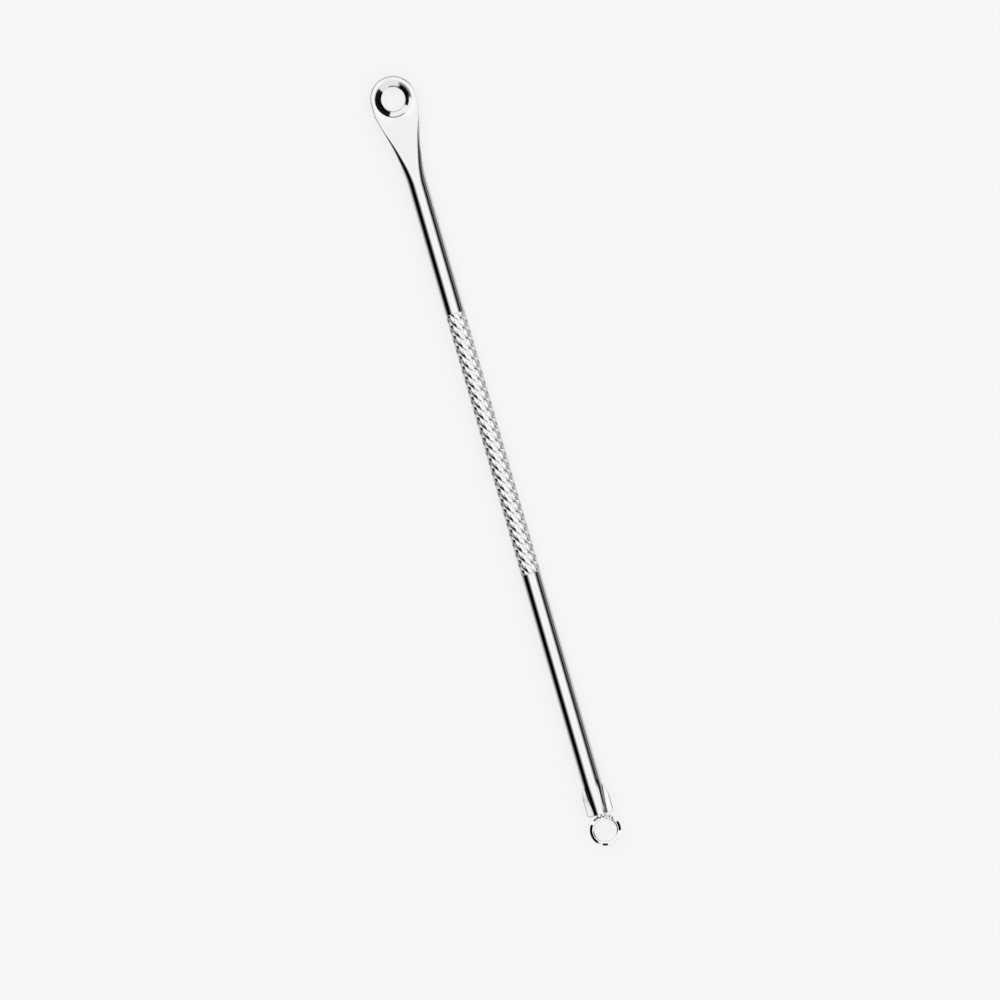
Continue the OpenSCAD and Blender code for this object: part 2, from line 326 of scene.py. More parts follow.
def joined(*stretches):
    """One run of points from stretches that each start where the one before ends."""
    points = list(stretches[0])
    for stretch in stretches[1:]:
        points += stretch[1:]
    return points


def eased_share(share):
    """Keeps a share between 0 and 1, and eases it at both ends."""
    share = min(max(share, 0), 1)
    return share * share * (3 - 2 * share)


def pull_rod(bm, loop, stops):
    """Pulls a round loop along the axis through stops of (x, radius), and returns the last loop."""
    for x, radius in stops:
        loop, points = extruded(bm, loop)
        for v in points:
            across = Vector((0, v.co.y, v.co.z - AXIS_Z)).normalized() * radius
            v.co = Vector((x, across.y, AXIS_Z + across.z))
    return loop


def rod_end_stops(rod, shoulder, towards_grip):
    """Stops from a rod's last stretch over its rounded edge and down its spigot."""
    edge = rod.end_round
    quarter = math.pi / 2
    centre = (shoulder - towards_grip * edge, rod.radius - edge)
    tip = shoulder + towards_grip * rod.spigot_length
    return arc_points(centre, edge, quarter, quarter * (1 - towards_grip), ROD_EDGE_STEPS) + [
        (shoulder, rod.spigot_radius),
        (tip - towards_grip * rod.spigot_chamfer, rod.spigot_radius),
        (tip, rod.spigot_radius - rod.spigot_chamfer),
    ]


def placed_object(bm, name, material):
    """Turns a bmesh into an object of one material in the scene."""
    mesh = bpy.data.meshes.new(name)
    bm.to_mesh(mesh)
    bm.free()
    mesh.materials.append(material)
    placed = bpy.data.objects.new(name, mesh)
    bpy.context.scene.collection.objects.link(placed)
    return placed


def finished_piece(bm, name, node, material, sharp_angle):
    """Turns a closed bmesh into a shown piece that stands for a CAD node."""
    bmesh.ops.remove_doubles(bm, verts=bm.verts, dist=MERGE_DISTANCE)
    bmesh.ops.recalc_face_normals(bm, faces=bm.faces)
    loose = [e for e in bm.edges if not e.is_manifold]
    if loose:
        raise RuntimeError(f"{name} isn't closed: {len(loose)} edges near {loose[0].verts[0].co / MM}")
    piece = placed_object(bm, name, material)
    piece.data.shade_smooth()
    piece.data.set_sharp_from_angle(angle=math.radians(sharp_angle))
    weighted = piece.modifiers.new("Weighted normals", "WEIGHTED_NORMAL")
    weighted.keep_sharp = True
    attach(piece, "root")
    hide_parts(node)
    return piece


class NodeSheet:
    """A short way to add and join the nodes of one material or world."""

    def __init__(self, tree):
        self.tree = tree
        tree.nodes.clear()

    def add(self, kind, settings=None, **inputs):
        """Adds a node, with its settings and its inputs by name."""
        node = self.tree.nodes.new(kind)
        for key, value in (settings or {}).items():
            setattr(node, key, value)
        for key, value in inputs.items():
            self.feed(node, key.replace("_", " "), value)
        return node

    def feed(self, node, socket, value):
        """Gives a socket, by name or number, another node's output or a plain value."""
        target = node.inputs[int(socket)] if socket.isdigit() else node.inputs[socket]
        if isinstance(value, bpy.types.NodeSocket):
            self.tree.links.new(value, target)
        else:
            target.default_value = value

    def math(self, operation, *values):
        """One sum on one or two values."""
        node = self.tree.nodes.new("ShaderNodeMath")
        node.operation = operation
        for place, value in enumerate(values):
            self.feed(node, str(place), value)
        return node.outputs[0]

    def product(self, first, *others):
        """All the values multiplied together."""
        for value in others:
            first = self.math("MULTIPLY", first, value)
        return first

    def largest(self, first, *others):
        """The largest of the values."""
        for value in others:
            first = self.math("MAXIMUM", first, value)
        return first

    def spread(self, value, low, high, smooth=False):
        """Maps 0..1 onto low..high."""
        settings = {"interpolation_type": "SMOOTHSTEP" if smooth else "LINEAR"}
        node = self.add("ShaderNodeMapRange", settings, Value=value, To_Min=low, To_Max=high)
        return node.outputs["Result"]

    def ramp(self, value, limits, first, last):
        """Runs softly from first to last as value goes from one limit to the other."""
        start, end = limits
        node = self.add(
            "ShaderNodeMapRange", {"interpolation_type": "SMOOTHSTEP"},
            Value=value, From_Min=start, From_Max=end, To_Min=first, To_Max=last,
        )
        return node.outputs["Result"]

    def noise(self, vector, scale, detail):
        """Noise between 0 and 1."""
        node = self.add("ShaderNodeTexNoise", Vector=vector, Scale=scale, Detail=detail, Roughness=0.55)
        return node.outputs["Fac"]

    def stretched(self, vector, scale):
        """A place scaled by a different amount along each axis."""
        return self.add("ShaderNodeMapping", Vector=vector, Scale=scale).outputs["Vector"]


def steel_sheet(name):
    """A new material with a metal shader, and its sheet of nodes."""
    material = bpy.data.materials.new(name)
    material.use_nodes = True
    sheet = NodeSheet(material.node_tree)
    shader = sheet.add("ShaderNodeBsdfPrincipled", Metallic=1.0)
    sheet.add("ShaderNodeOutputMaterial", Surface=shader.outputs[0])
    place = sheet.add("ShaderNodeTexCoord").outputs["Object"]
    return material, sheet, shader, place


def mixed_colour(sheet, factor, first, second):
    """A blend of two colours, by the Mix node's own colour sockets: 6 and 7 in, 2 out."""
    mix = sheet.add("ShaderNodeMix", {"data_type": "RGBA"})
    sheet.feed(mix, "0", factor)
    mix.inputs[6].default_value = (*first, 1)
    mix.inputs[7].default_value = (*second, 1)
    return mix.outputs[2]


def dulled(tone, kept):
    """A colour that keeps only a share of its brightness."""
    return tuple(part * kept for part in tone)


def polished_steel(colours):
    """Mirror polish with fine lengthwise buffing lines and a few soft handling marks."""
    material, sheet, shader, place = steel_sheet("polished_steel")
    lengthwise = sheet.stretched(place, (60.0, 9000.0, 9000.0))
    buffing = sheet.noise(lengthwise, scale=1.0, detail=2.0)
    marks = sheet.noise(place, scale=420.0, detail=4.0)
    tone = mixed_colour(sheet, marks, colours.rod, dulled(colours.rod, kept=0.95))
    sheet.feed(shader, "Base Color", tone)
    from_marks = sheet.spread(marks, low=0.03, high=0.09)
    from_buffing = sheet.spread(buffing, low=0.0, high=0.03)
    sheet.feed(shader, "Roughness", sheet.math("ADD", from_marks, from_buffing))
    bump = sheet.add("ShaderNodeBump", Height=buffing, Strength=0.12, Distance=0.002 * MM)
    sheet.feed(shader, "Normal", bump.outputs[0])
    return material


def shared_polish(colours):
    """The polished steel that both rods share, made once."""
    return bpy.data.materials.get("polished_steel") or polished_steel(colours)


def knurled_steel(colours):
    """Bright crests over rougher grooves, whose darker colour is painted shade down in the grooves."""
    material, sheet, shader, place = steel_sheet("knurled_steel")
    crest = sheet.add("ShaderNodeAttribute", {"attribute_name": "crest"}).outputs["Fac"]
    wear = sheet.noise(place, scale=1500.0, detail=4.0)
    # The colour runs from the grooves' painted shade up to the bright crests, varied by the wear noise.
    open_part = sheet.product(crest, sheet.spread(wear, low=0.8, high=1.2))
    lit = sheet.spread(open_part, low=0.0, high=1.0, smooth=True)
    sheet.feed(shader, "Base Color", mixed_colour(sheet, lit, colours.groove, colours.knurl))
    from_crest = sheet.spread(crest, low=0.28, high=0.18)
    from_wear = sheet.spread(wear, low=-0.03, high=0.05)
    sheet.feed(shader, "Roughness", sheet.math("ADD", from_crest, from_wear))
    bump = sheet.add("ShaderNodeBump", Height=wear, Strength=0.2, Distance=0.004 * MM)
    sheet.feed(shader, "Normal", bump.outputs[0])
    return material


def spring_wire(colours):
    """Drawn wire, bright, with a faint waviness left by the bending."""
    material, sheet, shader, place = steel_sheet("spring_wire")
    grain = sheet.noise(place, scale=2600.0, detail=3.0)
    bends = sheet.noise(place, scale=500.0, detail=2.0)
    tone = mixed_colour(sheet, bends, colours.wire, dulled(colours.wire, kept=0.93))
    sheet.feed(shader, "Base Color", tone)
    sheet.feed(shader, "Roughness", sheet.spread(grain, low=0.05, high=0.14))
    bump = sheet.add("ShaderNodeBump", Height=bends, Strength=0.15, Distance=0.004 * MM)
    sheet.feed(shader, "Normal", bump.outputs[0])
    return material


def groove_share(turns, bow):
    """The share of a groove's depth at a place counted in grooves: 1 in a groove, 0 halfway to the next."""
    return (1 - 2 * abs(turns - round(turns))) ** bow


class EXTRACTOR_OT_knurled_grip(bpy.types.Operator):
    """Spin the grip with its two bores, and press the diamond knurl into it"""

    bl_idname = "extractor.knurled_grip"
    bl_label = "Knurled grip"

    # Steps of the mesh to a groove, both around the grip and along it.
    per_groove = 16
    # Turns the knurl round the grip, in grooves, to where the photograph has its crests.
    first_crest = 0.27
    # The CAD rounds the grip to a whole number of these rows, which sets the true pitch.
    cad_rows_per_pitch = 4
    # Under 1, the grooves' walls bow outwards.
    wall_bow = 0.9
    drill_half_angle = math.radians(59)

    def execute(self, context):
        sizes = context.scene.extractor_grip
        grip_length = GRIP_FRONT - GRIP_BACK
        pitches = round(self.cad_rows_per_pitch * grip_length / sizes.pitch) / self.cad_rows_per_pitch
        rows = round(self.per_groove * pitches)
        columns = self.per_groove * sizes.starts
        row = grip_length / rows
        drill_point = sizes.bore_radius / math.tan(self.drill_half_angle)

        profile = [
            (GRIP_BACK + sizes.bore_depth + drill_point, 0),
            (GRIP_BACK + sizes.bore_depth, sizes.bore_radius),
            (GRIP_BACK, sizes.bore_radius),
        ]
        profile += [(GRIP_BACK + row * i, sizes.crest_radius) for i in range(rows + 1)]
        profile += [
            (GRIP_FRONT, sizes.bore_radius),
            (GRIP_FRONT - sizes.bore_depth, sizes.bore_radius),
            (GRIP_FRONT - sizes.bore_depth - drill_point, 0),
        ]
        bm = bmesh.new()
        crest_layer = bm.verts.layers.float.new("crest")
        parity = bm.verts.layers.int.new("parity")
        edges = chain(bm, [(x, 0, AXIS_Z + r) for x, r in profile])
        turned(bm, edges, (0, 0, AXIS_Z), (1, 0, 0), FULL_TURN, columns, merge=True)

        for v in bm.verts:
            out = Vector((v.co.y, v.co.z - AXIS_Z))
            if out.length < sizes.crest_radius - MERGE_DISTANCE:
                continue
            x = v.co.x - GRIP_BACK
            turn = math.atan2(out.x, -out.y) / FULL_TURN
            around = turn * sizes.starts + self.first_crest
            along = x / (row * self.per_groove)
            cut = max(
                sizes.groove_depth * groove_share(around + along, self.wall_bow),
                sizes.cross_depth * groove_share(around - along, self.wall_bow),
            )
            end_cut = sizes.chamfer - min(x, grip_length - x) + sizes.groove_depth / 2
            out = out.normalized() * (sizes.crest_radius - max(cut, end_cut))
            v.co = Vector((v.co.x, out.x, AXIS_Z + out.y))
            v[crest_layer] = 1 - cut / sizes.groove_depth
            v[parity] = 1 + (round(x / row) + round(turn * columns)) % 2

        # The quads are split between their even corners, so that their diagonals cross as the grooves do.
        for face in list(bm.faces):
            even = [v for v in face.verts if v[parity] == 1]
            if len(face.verts) == 4 and len(even) == 2 and all(v[parity] for v in face.verts):
                bmesh.utils.face_split(face, even[0], even[1])
        material = knurled_steel(context.scene.extractor_finish)
        finished_piece(bm, "knurled_grip_look", "knurled_grip", material, sharp_angle=70)
        return {"FINISHED"}


class SpoonShape:
    """The spoon's outline and thickness, by distance from the eye towards the grip."""

    def __init__(self, sizes, rod_radius):
        self.sizes = sizes
        self.rod = rod_radius
        taper = sizes.taper
        self.taper_start = sizes.straight + sizes.eye_radius * math.sin(taper)
        meet = sizes.straight + (sizes.eye_radius / math.cos(taper) - rod_radius) / math.tan(taper)
        tangent = sizes.waist_radius * math.tan(taper / 2)
        self.waist_start = meet - tangent * math.cos(taper)
        self.waist_end = meet + tangent

    def half_width(self, d):
        """Half the spoon's width: straight, then round, then tapered, then a waist that ends in the rod."""
        sizes = self.sizes
        past_straight = d - sizes.straight
        if past_straight < 0:
            return sizes.eye_radius
        if d < self.taper_start:
            return math.sqrt(sizes.eye_radius**2 - past_straight**2)
        if d < self.waist_start:
            return sizes.eye_radius / math.cos(sizes.taper) - past_straight * math.tan(sizes.taper)
        if d < self.waist_end:
            rise = math.sqrt(sizes.waist_radius**2 - (self.waist_end - d) ** 2)
            return self.rod + sizes.waist_radius - rise
        return self.rod

    def swell(self, d):
        """How far the section has gone from the flat, 0, to the round rod, 1."""
        flat = self.sizes.flat_length
        return min(max((d - flat) / (self.waist_end - flat), 0), 1)

    def section_point(self, d, place, keen):
        """(out, height) on the edge at d, for a place from 0 at the back to 1 at the face.

        Keen goes from 0, where the edge has its full rounding, to 1, where it has the keen one.
        """
        sizes = self.sizes
        swell = self.swell(d)
        edge_round = sizes.edge_round + (sizes.keen_round - sizes.edge_round) * keen
        corner = edge_round + (self.rod - edge_round) * swell
        grown = eased_share((swell - sizes.edge_fade) / (1 - sizes.edge_fade))
        tilt = sizes.edge_tilt + (math.pi / 2 - sizes.edge_tilt) * grown
        turn = 2 * place - 1
        full = sizes.face_height if turn > 0 else sizes.back_depth
        height = full + (self.rod - full) * eased_share(swell)
        lean = tilt * (1 - abs(turn))
        bow = corner / math.sin(tilt)
        drop = min(bow * (1 - math.cos(lean)), height)
        return self.half_width(d) - corner + bow * math.sin(lean), math.copysign(height - drop, turn)

    def dish_wall(self, steps):
        """Points (radius, height) from the face over the lip and down the dish to the hole."""
        sizes = self.sizes
        run = sizes.dish_radius - sizes.hole_radius
        chord = math.hypot(run, sizes.dish_depth)
        bulge = math.sqrt(sizes.dish_wall**2 - chord**2 / 4) / chord
        centre_r = (sizes.dish_radius + sizes.hole_radius) / 2 + bulge * sizes.dish_depth
        centre_h = sizes.face_height - sizes.dish_depth / 2 - bulge * run
        first = math.atan2(sizes.face_height - centre_h, sizes.dish_radius - centre_r)
        last = math.atan2(sizes.face_height - sizes.dish_depth - centre_h, sizes.hole_radius - centre_r)
        return arc_points((centre_r, centre_h), sizes.dish_wall, first, last, steps)


class EXTRACTOR_OT_spoon_shank(bpy.types.Operator):
    """Spin the spoon's round end, pull its edge along to the rod, and sink the dish and the hole"""

    bl_idname = "extractor.spoon_shank"
    bl_label = "Spoon and its rod"

    edge_steps = 32
    tip_steps = 48
    side_steps = 15
    blend_steps = 64
    dish_steps = 12
    # Round the tip, the edge turns keen from this many degrees past the left side, over this many more.
    keen_start = 145
    keen_growth = 25
    # Down the right side, it is soft again at this distance from the eye, after fading over this length.
    keen_end = 5 * MM
    keen_fade = 3 * MM

    def execute(self, context):
        sizes = context.scene.extractor_spoon
        rod = context.scene.extractor_rod
        shape = SpoonShape(sizes, rod.radius)
        eye_x = TIP_X - sizes.eye_radius
        eye = Vector((eye_x, 0, AXIS_Z))
        down = (0, 0, -1)

        bm = bmesh.new()
        place = bm.verts.layers.float.new("place")
        side = bm.verts.layers.int.new("side")
        places = [k / self.edge_steps for k in range(self.edge_steps + 1)]
        section = [shape.section_point(0, share, 0) for share in places]
        first = chain(bm, [(eye_x, out, AXIS_Z + height) for out, height in section])
        for v, share in zip(bm.verts, places):
            v[place] = share
            v[side] = 1
        last = turned(bm, first, eye, down, math.pi, self.tip_steps)
        for e in last:
            for v in e.verts:
                v[side] = -1
        for v in bm.verts:
            outward = Vector((v.co.x - eye_x, v.co.y, 0)).normalized()
            turn = math.degrees(math.atan2(outward.x, outward.y))
            keen = eased_share((turn - self.keen_start) / self.keen_growth)
            out, height = shape.section_point(0, v[place], keen)
            v.co = Vector((eye_x, 0, AXIS_Z + height)) + outward * out

        near = [sizes.flat_length * (i + 1) / self.side_steps for i in range(self.side_steps)]
        far_run = shape.waist_end - sizes.flat_length
        far = [sizes.flat_length + far_run * (i + 1) / self.blend_steps for i in range(self.blend_steps)]
        rims = {1: [], 0: []}
        edges = first + last
        for d in near + far:
            edges, points = extruded(bm, edges)
            keen_right = eased_share((self.keen_end - d) / self.keen_fade)
            for v in points:
                out, height = shape.section_point(d, v[place], keen_right if v[side] < 0 else 0)
                v.co = Vector((eye_x - d, v[side] * out, AXIS_Z + height))
            if d <= sizes.flat_length:
                continue
            for level, rim in rims.items():
                ends = [v for v in points if v[place] == level]
                rim += [e for v in ends for e in v.link_edges if all(p[place] == level for p in e.verts)]
        across = []
        for rim in rims.values():
            made = bmesh.ops.bridge_loops(bm, edges=rim)
            across += [e for e in made["edges"] if e.verts[0][side] != e.verts[1][side]]
        # The flat's rim gets as many edges as the dish has around, so that the two bridge evenly.
        cross_cuts = self.tip_steps - 2 * self.side_steps - 1
        bmesh.ops.subdivide_edges(bm, edges=across, cuts=cross_cuts, use_grid_fill=True)
        bmesh.ops.remove_doubles(bm, verts=bm.verts, dist=MERGE_DISTANCE)

        wall = shape.dish_wall(self.dish_steps)
        hole = [
            (sizes.hole_radius, -sizes.back_depth + sizes.hole_chamfer),
            (sizes.hole_radius + sizes.hole_chamfer, -sizes.back_depth),
        ]
        eye_chain = chain(bm, [(eye_x, r, AXIS_Z + h) for r, h in wall + hole])
        turned(bm, eye_chain, eye, down, FULL_TURN, 2 * self.tip_steps, merge=True)
        bmesh.ops.remove_doubles(bm, verts=bm.verts, dist=MERGE_DISTANCE)

        open_edges = [e for e in bm.edges if e.is_boundary]
        by_eye = [e for e in open_edges if e.verts[0].co.x > eye_x - shape.waist_end + MM]
        for facing in (1, -1):
            rim = [e for e in by_eye if facing * (e.verts[0].co.z - AXIS_Z) > 0]
            bmesh.ops.bridge_loops(bm, edges=rim)

        neck = [e for e in bm.edges if e.is_boundary]
        cap(bm, pull_rod(bm, neck, rod_end_stops(rod, GRIP_FRONT, -1)))
        material = shared_polish(context.scene.extractor_finish)
        finished_piece(bm, "spoon_shank_look", "spoon_shank", material, sharp_angle=30)
        return {"FINISHED"}


class CrimpShape:
    """The crimped end's section, by distance from the mouth: a ridge between two flat wings."""

    # How far the wings' roots reach into the rod.
    bury = 0.1 * MM
    # The least straight stretch left between two roundings.
    least_flat = 0.02 * MM
    # A wing's face falls by its whole droop only where the wing is this wide.
    full_droop_width = MM
    back_steps = 3
    belly_steps = 14
    flat_steps = 4
    corner_steps = 6
    side_steps = 12
    ridge_steps = 24

    def __init__(self, sizes, rod_radius):
        self.sizes = sizes
        self.rod = rod_radius
        farthest = max(sizes.back_depth, sizes.wing_thickness - sizes.back_depth)
        self.root = math.sqrt(rod_radius**2 - farthest**2) - self.bury
        rise = sizes.wing_half - self.root
        run = sizes.stretch - sizes.wing_length
        self.flare = (run * run + rise * rise) / (2 * rise)

    def wing_reach(self, x):
        """How far a wing reaches from the axis: a round corner, straight, then an arc into the rod."""
        sizes = self.sizes
        if x < sizes.wing_corner:
            corner = math.sqrt(sizes.wing_corner**2 - (sizes.wing_corner - x) ** 2)
            return sizes.wing_half - sizes.wing_corner + corner
        if x < sizes.wing_length:
            return sizes.wing_half
        return sizes.wing_half - self.flare + math.sqrt(self.flare**2 - (x - sizes.wing_length) ** 2)

    def half_section(self, x, inset, thickness, wing_edge, droop, fall):
        """Points (y, z) from the middle of the back round one wing to the top of the ridge."""
        sizes = self.sizes
        grown = eased_share(x / sizes.stretch)
        ridge = sizes.ridge_radius + (self.rod - sizes.ridge_radius) * grown - inset
        sloped = eased_share((x - sizes.stretch + sizes.back_slope) / sizes.back_slope)
        back = min(sizes.back_depth + (self.rod - sizes.back_depth) * sloped - inset, ridge)
        low = -sizes.back_depth + inset
        high = low + thickness - 2 * inset
        reach = self.wing_reach(x) - inset
        edge = min(wing_edge, (high - low) / 2 - self.least_flat)

        def on_ridge(z):
            return math.sqrt(max(ridge * ridge - z * z, 0))

        room = max(reach - edge - self.least_flat, 0)
        fillet = (room * room - ridge * ridge + high * high) / (2 * ridge - 2 * high)
        fillet = min(max(fillet, 0), sizes.fillet)
        fillet_y = math.sqrt(max((ridge + fillet) ** 2 - (high + fillet) ** 2, 0))
        touch = math.atan2(high + fillet, fillet_y)
        lowest = math.asin(max(-back / ridge, -1))
        wing_low = math.asin(max(low / ridge, -1))
        quarter = math.pi / 2

        points = joined(
            line_points((0, -back), (on_ridge(-back), -back), self.back_steps),
            arc_points((0, 0), ridge, lowest, wing_low, self.belly_steps),
        )
        wing = joined(
            line_points((on_ridge(low), low), (reach - edge, low), self.flat_steps),
            arc_points((reach - edge, low + edge), edge, -quarter, 0, self.corner_steps),
            line_points((reach, low + edge), (reach, high - edge), self.side_steps),
            arc_points((reach - edge, high - edge), edge, 0, quarter, self.corner_steps),
            line_points((reach - edge, high), (fillet_y, high), self.flat_steps),
            arc_points((fillet_y, high + fillet), fillet, -quarter, touch - math.pi, self.corner_steps),
        )
        contact = ridge * math.cos(touch)
        width = max(reach - contact, MERGE_DISTANCE)
        droop *= min(width / self.full_droop_width, 1) ** 2
        for y, z in wing[1:]:
            outward = min(max((y - contact) / width, 0), 1)
            z -= droop * outward**fall * (z - low) / (high - low)
            points.append((max(y, on_ridge(z)), z))
        return points + arc_points((0, 0), ridge, touch, quarter, self.ridge_steps)[1:]


class EXTRACTOR_OT_loop_shank(bpy.types.Operator):
    """Pull the crimped section into the rod, and sink the socket for the wire's tails"""

    bl_idname = "extractor.loop_shank"
    bl_label = "Crimped end and its rod"

    crimp_steps = 50
    mouth_steps = 4
    socket_steps = 48
    # Under 1, a wing's face falls mostly beside the ridge, and over 1 mostly towards its edge.
    left_fall = 0.85
    right_fall = 3

    def execute(self, context):
        sizes = context.scene.extractor_crimp
        wire = context.scene.extractor_wire
        rod = context.scene.extractor_rod
        shape = CrimpShape(sizes, rod.radius)
        left_wing = (sizes.wing_thickness, sizes.left_edge, sizes.left_droop, self.left_fall)
        right_wing = (sizes.right_thickness, sizes.right_edge, sizes.right_droop, self.right_fall)

        def section(x, inset):
            left = shape.half_section(x, inset, *left_wing)
            right = shape.half_section(x, inset, *right_wing)
            return left + [(-y, z) for y, z in right[-2:0:-1]]

        mouth_round = sizes.mouth_round
        stations = joined(
            arc_points((mouth_round, mouth_round), mouth_round, math.pi, 1.5 * math.pi, self.mouth_steps),
            line_points((mouth_round, 0), (sizes.stretch, 0), self.crimp_steps),
        )

        bm = bmesh.new()
        order = bm.verts.layers.int.new("order")
        outline = section(*stations[0])
        loop = chain(bm, [(MOUTH_X, y, AXIS_Z + z) for y, z in outline])
        bm.verts.ensure_lookup_table()
        loop.append(bm.edges.new((bm.verts[-1], bm.verts[0])))
        for k, v in enumerate(bm.verts):
            v[order] = k
        for x, inset in stations[1:]:
            outline = section(x, inset)
            loop, points = extruded(bm, loop)
            for v in points:
                y, z = outline[v[order]]
                v.co = Vector((MOUTH_X + x, y, AXIS_Z + z))
        bmesh.ops.remove_doubles(bm, verts=bm.verts, dist=MERGE_DISTANCE)
        rod_loop = [e for e in bm.edges if e.is_boundary and e.verts[0].co.x > MOUTH_X + MM]
        cap(bm, pull_rod(bm, rod_loop, rod_end_stops(rod, GRIP_BACK, 1)))

        tail_y = wire.radius + wire.tail_gap / 2
        half_step = FULL_TURN / self.socket_steps / 2
        slot = ring_across(
            bm, (MOUTH_X, 0, AXIS_Z), wire.radius + sizes.clearance, self.socket_steps, turn=half_step
        )
        for v in slot:
            v.co.y += math.copysign(tail_y, v.co.y)
        slot_edges = list(dict.fromkeys(e for v in slot for e in v.link_edges))
        deep, points = extruded(bm, slot_edges)
        bmesh.ops.translate(bm, verts=points, vec=(sizes.socket_depth, 0, 0))
        cap(bm, deep)
        mouth = [e for e in bm.edges if e.is_boundary]
        bmesh.ops.triangle_fill(bm, edges=mouth, use_beauty=True, use_dissolve=False, normal=(-1, 0, 0))
        material = shared_polish(context.scene.extractor_finish)
        finished_piece(bm, "loop_shank_look", "loop_shank", material, sharp_angle=40)
        return {"FINISHED"}


class EXTRACTOR_OT_wire_loop(bpy.types.Operator):
    """Spin one wire through its tail, bend, loop, bend and tail, and rub a flat along the loop's outside"""

    bl_idname = "extractor.wire_loop"
    bl_label = "Wire loop"

    wire_steps = 48
    loop_steps = 144
    bend_steps = 12
    # Slack in radians, so that the points right at the rubbed flat's edges count as on it.
    tilt_slack = 0.01

    def execute(self, context):
        sizes = context.scene.extractor_wire
        depth = context.scene.extractor_crimp.socket_depth
        middle_r = sizes.loop_radius - sizes.radius
        bend_r = sizes.bend_inside + sizes.radius
        tail_y = sizes.radius + sizes.tail_gap / 2
        bend_angle = math.asin((tail_y + bend_r) / (middle_r + bend_r))
        loop_x = LOOP_END_X + sizes.loop_radius
        bend_x = loop_x + (middle_r + bend_r) * math.cos(bend_angle)
        tail_end = MOUTH_X + depth - sizes.tail_spare
        up = (0, 0, 1)

        bm = bmesh.new()
        ring_across(bm, (tail_end, tail_y, AXIS_Z), sizes.radius, self.wire_steps)
        start = list(bm.edges)
        edges, points = extruded(bm, start)
        bmesh.ops.translate(bm, verts=points, vec=(bend_x - tail_end, 0, 0))
        swing = math.pi / 2 - bend_angle
        edges = turned(bm, edges, (bend_x, tail_y + bend_r, AXIS_Z), up, -swing, self.bend_steps)
        edges = turned(bm, edges, (loop_x, 0, AXIS_Z), up, FULL_TURN - 2 * bend_angle, self.loop_steps)
        edges = turned(bm, edges, (bend_x, -tail_y - bend_r, AXIS_Z), up, -swing, self.bend_steps)
        edges, points = extruded(bm, edges)
        bmesh.ops.translate(bm, verts=points, vec=(tail_end - bend_x, 0, 0))
        cap(bm, start)
        cap(bm, edges)
        self.rub_flat(bm, sizes, Vector((loop_x, 0, AXIS_Z)), middle_r, bend_x)
        material = spring_wire(context.scene.extractor_finish)
        finished_piece(bm, "wire_loop_look", "wire_loop", material, sharp_angle=30)
        return {"FINISHED"}

    def rub_flat(self, bm, sizes, centre, middle_r, bend_x):
        """Moves the points between two tilts on the loop's outside onto the chord between them."""
        half = (sizes.rub_end - sizes.rub_start) / 2
        middle = sizes.rub_start + half
        for v in bm.verts:
            spoke = Vector((v.co.x - centre.x, v.co.y))
            tilt = math.atan2(spoke.length - middle_r, v.co.z - centre.z)
            on_flat = sizes.rub_start - self.tilt_slack < tilt < sizes.rub_end + self.tilt_slack
            if v.co.x > bend_x or not on_flat:
                continue
            distance = sizes.radius * math.cos(half) / math.cos(tilt - middle)
            spoke = spoke.normalized() * (middle_r + distance * math.sin(tilt))
            v.co = centre + Vector((spoke.x, spoke.y, distance * math.cos(tilt)))


def studio_world(colours, studio):
    """A white tent with dark walls past the tool's sides, and a pale backdrop for the camera."""
    world = bpy.data.worlds.new("studio")
    world.use_nodes = True
    sheet = NodeSheet(world.node_tree)
    direction = sheet.add("ShaderNodeTexCoord").outputs["Generated"]
    parts = sheet.add("ShaderNodeSeparateXYZ", Vector=direction).outputs
    x, y, z = (parts[axis] for axis in "XYZ")
    down = sheet.math("ARCCOSINE", z)
    level = sheet.math("SQRT", sheet.math("ADD", sheet.product(x, x), sheet.product(y, y)))
    level = sheet.largest(level, LEAST_LEVEL)

    overhead = sheet.ramp(down, (studio.top_full, studio.top_end), studio.strength, 0.0)
    off_gap = sheet.math("ABSOLUTE", sheet.math("ARCTAN2", y, z))
    gap = sheet.ramp(off_gap, (0.0, 2 * studio.gap_turn), studio.gap_light, 1.0)
    overhead = sheet.product(overhead, gap)

    walls = studio.ends
    for centre, half_width, softness, darkness in DARK_WALLS:
        aim = math.radians(centre)
        towards = sheet.math("ADD", sheet.product(x, math.cos(aim)), sheet.product(y, math.sin(aim)))
        off = sheet.math("ARCCOSINE", sheet.math("DIVIDE", towards, level))
        edge = in_radians(half_width - softness, half_width + softness)
        walls = sheet.product(walls, sheet.ramp(off, edge, 1.0 - darkness, 1.0))
    strip = sheet.product(
        sheet.ramp(x, STRIP_ALONG, 0.0, STRIP_DARKNESS),
        sheet.ramp(y, STRIP_ACROSS, 0.0, 1.0),
        sheet.ramp(down, STRIP_TOP, 0.0, 1.0),
        sheet.ramp(down, STRIP_BOTTOM, 1.0, 0.0),
    )
    walls = sheet.product(walls, sheet.math("SUBTRACT", 1.0, strip))
    on_right = sheet.math("LESS_THAN", y, 0.0)
    low = sheet.ramp(down, (studio.low_start, studio.low_end), 0.0, studio.low_light)
    lit = sheet.largest(overhead, walls, sheet.product(on_right, low))

    backdrop = sheet.add("ShaderNodeBackground", Color=(*colours.floor, 1), Strength=1.0)
    tent = sheet.add("ShaderNodeBackground", Color=(1, 1, 1, 1), Strength=lit)
    mix = sheet.add("ShaderNodeMixShader")
    sheet.feed(mix, "0", sheet.add("ShaderNodeLightPath").outputs["Is Camera Ray"])
    sheet.feed(mix, "1", tent.outputs[0])
    sheet.feed(mix, "2", backdrop.outputs[0])
    sheet.add("ShaderNodeOutputWorld", Surface=mix.outputs[0])
    return world


